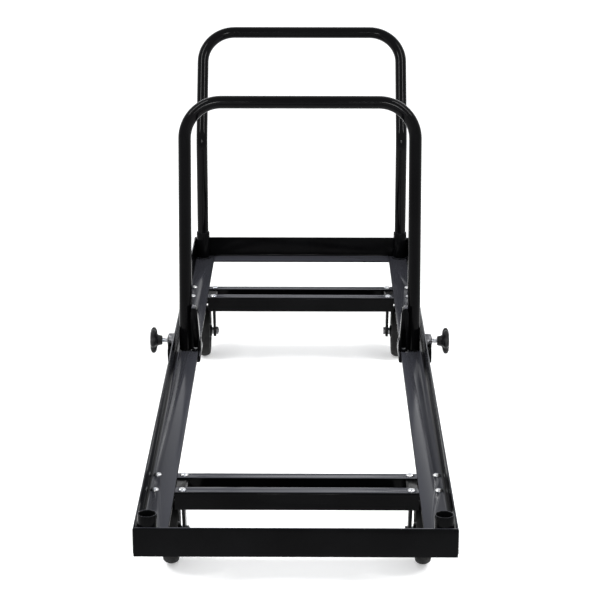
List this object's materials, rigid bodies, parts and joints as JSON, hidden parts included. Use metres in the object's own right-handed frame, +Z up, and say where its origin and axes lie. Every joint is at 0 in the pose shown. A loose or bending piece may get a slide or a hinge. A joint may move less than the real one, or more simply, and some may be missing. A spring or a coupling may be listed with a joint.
{
  "type": "folding chair cart",
  "caption": "Long angle-iron cart on swivel casters with a fixed end hoop handle and a sliding middle hoop handle clamped by side knobs.",
  "frame": {"origin": "on the floor, under the middle of the whole cart's box", "axes": "+Z up, +Y along the cart towards the end that carries the fixed handle, +X across the cart to the right"},
  "size_m": [0.632, 1.9652, 0.7095],
  "materials": {
    "black_paint": "gloss black powder coat",
    "handle_paint": "gloss black powder coat on tube",
    "caster_steel": "black coated pressed steel",
    "zinc": "bright zinc plate",
    "bearing_steel": "dull oiled steel",
    "wheel_plastic": "moulded polypropylene",
    "tread": "solid black rubber",
    "knob_plastic": "satin moulded phenolic",
    "pad_nylon": "black nylon"
  },
  "bodies": {
    "frame": {"side_rail_left": "black_paint", "side_rail_right": "black_paint", "near_end_rail": "black_paint", "far_end_rail": "black_paint", "near_cross_member": "black_paint", "far_cross_member": "black_paint", "caster_bolts": "zinc", "caster_nuts": "bearing_steel", "handle_socket_near_left": "black_paint", "caster_plate_near_left": "caster_steel", "kingpin_near_left": "zinc", "handle_socket_near_right": "black_paint", "caster_plate_near_right": "caster_steel", "kingpin_near_right": "zinc", "handle_socket_far_left": "black_paint", "caster_plate_far_left": "caster_steel", "kingpin_far_left": "zinc", "handle_socket_far_right": "black_paint", "caster_plate_far_right": "caster_steel", "kingpin_far_right": "zinc"},
    "end_handle": {"end_handle": "handle_paint"},
    "middle_handle": {"middle_handle": "handle_paint", "rail_cradle_left": "black_paint", "rail_cradle_right": "black_paint", "cradle_glide_left": "pad_nylon", "cradle_glide_right": "pad_nylon", "leg_bracket_left": "black_paint", "leg_bracket_right": "black_paint", "clamp_boss_left": "bearing_steel", "clamp_boss_right": "bearing_steel"},
    "clamp_pad_left": {"clamp_pad_left": "zinc"},
    "clamp_knob_left": {"clamp_knob_left": "knob_plastic", "clamp_screw_left": "zinc"},
    "clamp_pad_right": {"clamp_pad_right": "zinc"},
    "clamp_knob_right": {"clamp_knob_right": "knob_plastic", "clamp_screw_right": "zinc"},
    "caster_near_left": {"caster_fork_near_left": "caster_steel", "swivel_bearing_near_left": "bearing_steel", "wheel_axle_near_left": "bearing_steel", "axle_sleeves_near_left": "zinc"},
    "wheel_near_left": {"wheel_core_near_left": "wheel_plastic", "tyre_near_left": "tread"},
    "caster_near_right": {"caster_fork_near_right": "caster_steel", "swivel_bearing_near_right": "bearing_steel", "wheel_axle_near_right": "bearing_steel", "axle_sleeves_near_right": "zinc"},
    "wheel_near_right": {"wheel_core_near_right": "wheel_plastic", "tyre_near_right": "tread"},
    "caster_far_left": {"caster_fork_far_left": "caster_steel", "swivel_bearing_far_left": "bearing_steel", "wheel_axle_far_left": "bearing_steel", "axle_sleeves_far_left": "zinc"},
    "wheel_far_left": {"wheel_core_far_left": "wheel_plastic", "tyre_far_left": "tread"},
    "caster_far_right": {"caster_fork_far_right": "caster_steel", "swivel_bearing_far_right": "bearing_steel", "wheel_axle_far_right": "bearing_steel", "axle_sleeves_far_right": "zinc"},
    "wheel_far_right": {"wheel_core_far_right": "wheel_plastic", "tyre_far_right": "tread"}
  },
  "joints": [
    {"name": "end_handle_lift", "type": "slide", "parent": "frame", "child": "end_handle", "axis": [0, 0, 1], "range_m": [0, 0.06]},
    {"name": "middle_handle_slide", "type": "slide", "parent": "frame", "child": "middle_handle", "axis": [0, 1, 0], "range_m": [-0.65, 0.325]},
    {"name": "clamp_pad_travel_left", "type": "slide", "parent": "middle_handle", "child": "clamp_pad_left", "axis": [-1, 0, 0], "range_m": [0, 0.003]},
    {"name": "clamp_knob_turn_left", "type": "hinge", "parent": "clamp_pad_left", "child": "clamp_knob_left", "pos_m": [-0.29, 0.09538, 0.183], "axis": [-1, 0, 0], "range_deg": [0, 720]},
    {"name": "clamp_pad_travel_right", "type": "slide", "parent": "middle_handle", "child": "clamp_pad_right", "axis": [1, 0, 0], "range_m": [0, 0.003]},
    {"name": "clamp_knob_turn_right", "type": "hinge", "parent": "clamp_pad_right", "child": "clamp_knob_right", "pos_m": [0.29, 0.09538, 0.183], "axis": [1, 0, 0], "range_deg": [0, 720]},
    {"name": "swivel_near_left", "type": "hinge", "parent": "frame", "child": "caster_near_left", "pos_m": [-0.2255, -0.66462, 0.14], "axis": [0, 0, 1], "continuous": true},
    {"name": "wheel_spin_near_left", "type": "hinge", "parent": "caster_near_left", "child": "wheel_near_left", "pos_m": [-0.2255, -0.63862, 0.06], "axis": [1, 0, 0], "continuous": true},
    {"name": "swivel_near_right", "type": "hinge", "parent": "frame", "child": "caster_near_right", "pos_m": [0.2255, -0.66462, 0.14], "axis": [0, 0, 1], "continuous": true},
    {"name": "wheel_spin_near_right", "type": "hinge", "parent": "caster_near_right", "child": "wheel_near_right", "pos_m": [0.2255, -0.63862, 0.06], "axis": [1, 0, 0], "continuous": true},
    {"name": "swivel_far_left", "type": "hinge", "parent": "frame", "child": "caster_far_left", "pos_m": [-0.2255, 0.52938, 0.14], "axis": [0, 0, 1], "continuous": true},
    {"name": "wheel_spin_far_left", "type": "hinge", "parent": "caster_far_left", "child": "wheel_far_left", "pos_m": [-0.2255, 0.55538, 0.06], "axis": [1, 0, 0], "continuous": true},
    {"name": "swivel_far_right", "type": "hinge", "parent": "frame", "child": "caster_far_right", "pos_m": [0.2255, 0.52938, 0.14], "axis": [0, 0, 1], "continuous": true},
    {"name": "wheel_spin_far_right", "type": "hinge", "parent": "caster_far_right", "child": "wheel_far_right", "pos_m": [0.2255, 0.55538, 0.06], "axis": [1, 0, 0], "continuous": true}
  ],
  "couplings": [
    {"joint": "clamp_pad_travel_left", "follows": "clamp_knob_turn_left", "m_per_rad": 0.00023873},
    {"joint": "clamp_pad_travel_right", "follows": "clamp_knob_turn_right", "m_per_rad": 0.00023873}
  ]
}
